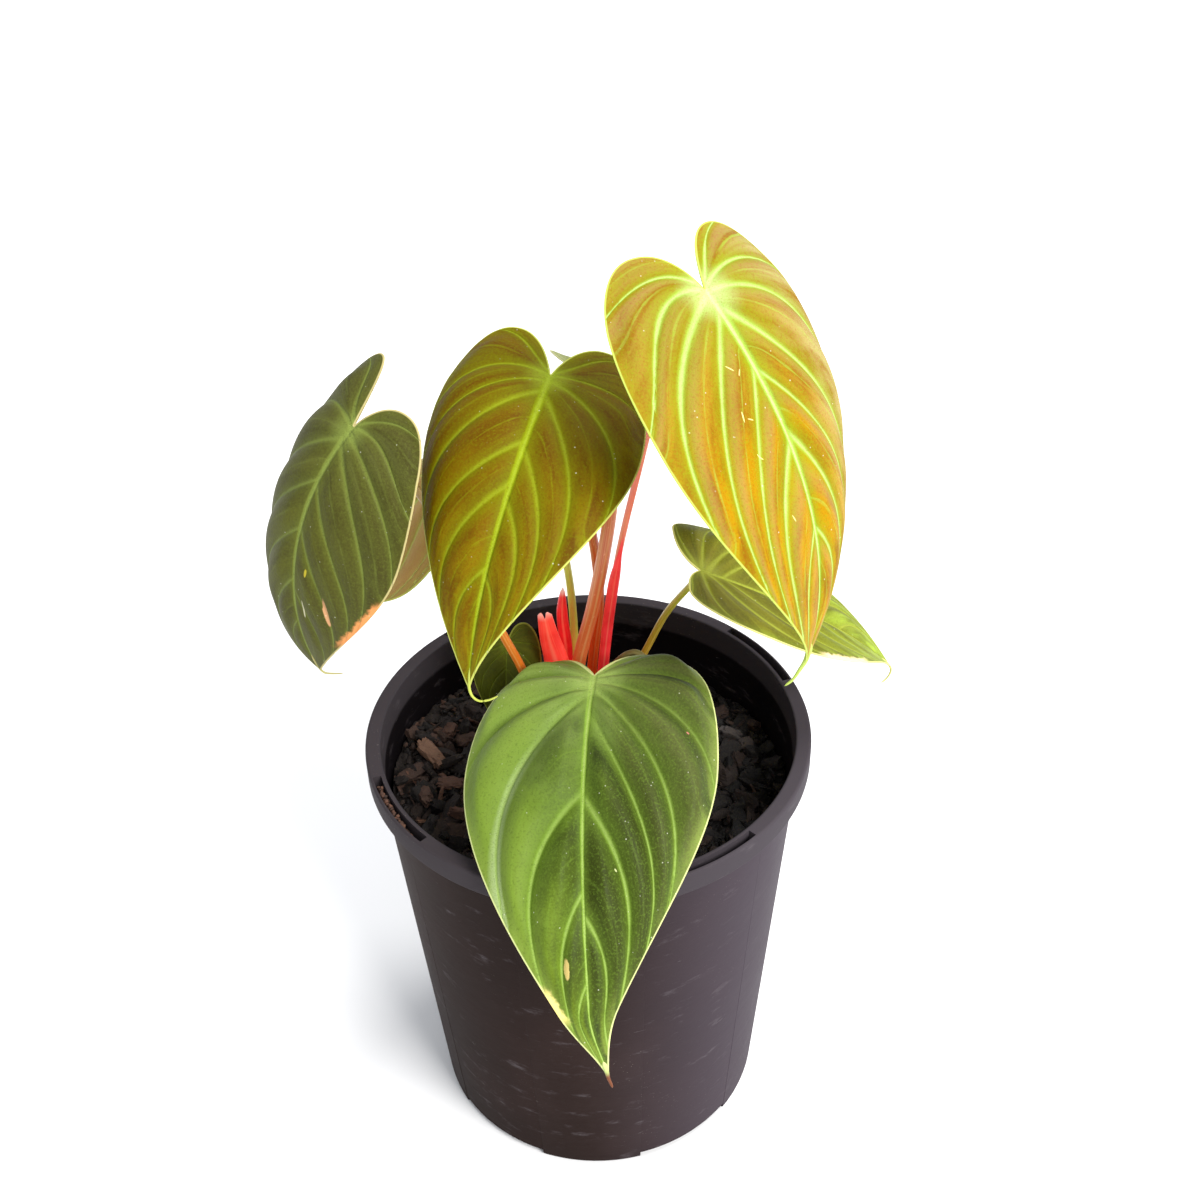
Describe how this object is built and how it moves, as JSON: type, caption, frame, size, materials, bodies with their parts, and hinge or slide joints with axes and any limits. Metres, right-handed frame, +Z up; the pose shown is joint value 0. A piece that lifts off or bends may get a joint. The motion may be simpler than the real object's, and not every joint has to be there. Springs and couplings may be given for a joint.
{
  "type": "potted philodendron rubrijuvenile",
  "caption": "Young philodendron with velvety heart-shaped leaves on slender red and green stalks, growing in bark mix in a round tapered plastic nursery pot.",
  "frame": {"origin": "centre of the pot's underside, on the surface that it stands on", "axes": "+Z up along the pot's axis, -Y towards the viewer of the picture, +X to the viewer's right"},
  "size_m": [0.1876, 0.1694, 0.3157],
  "materials": {
    "leaf_gold": "velvety leaf blade with pale sunken veins",
    "leaf_olive": "velvety leaf blade with pale sunken veins",
    "leaf_left": "velvety leaf blade with pale sunken veins",
    "leaf_front": "velvety leaf blade with pale sunken veins",
    "leaf_right": "velvety leaf blade with pale sunken veins",
    "leaf_back_left": "velvety leaf blade with pale sunken veins",
    "leaf_low": "velvety leaf blade with pale sunken veins",
    "leaf_back": "velvety leaf blade with pale sunken veins",
    "petiole_red": "smooth dark red leaf stalk, slightly glossy",
    "petiole_orange": "smooth orange leaf stalk, slightly glossy",
    "petiole_green": "smooth yellow-green leaf stalk",
    "sheath": "waxy bright red sheath with a pale tip",
    "root": "matt olive-brown root",
    "crown": "scarred stem at soil level",
    "soil": "dark crumbly bark mix",
    "bark_crumbs": "dry reddish-brown bark crumbs",
    "pot": "black moulded plastic, satin, dusty and lightly scuffed"
  },
  "bodies": {
    "root": {"leaf_gold": "leaf_gold", "leaf_olive": "leaf_olive", "leaf_left": "leaf_left", "leaf_front": "leaf_front", "leaf_right": "leaf_right", "leaf_back_left": "leaf_back_left", "leaf_low": "leaf_low", "leaf_back": "leaf_back", "petiole_gold": "petiole_red", "petiole_olive": "petiole_red", "petiole_left": "petiole_orange", "petiole_front": "petiole_red", "petiole_right": "petiole_green", "petiole_back_left": "petiole_green", "petiole_low": "petiole_green", "petiole_back": "petiole_orange", "sheath_red_large": "sheath", "sheath_red_small": "sheath", "sheath_gold": "sheath", "aerial_root": "root", "crown": "crown", "soil": "soil", "rim_crumbs": "bark_crumbs", "pot": "pot"}
  },
  "joints": []
}
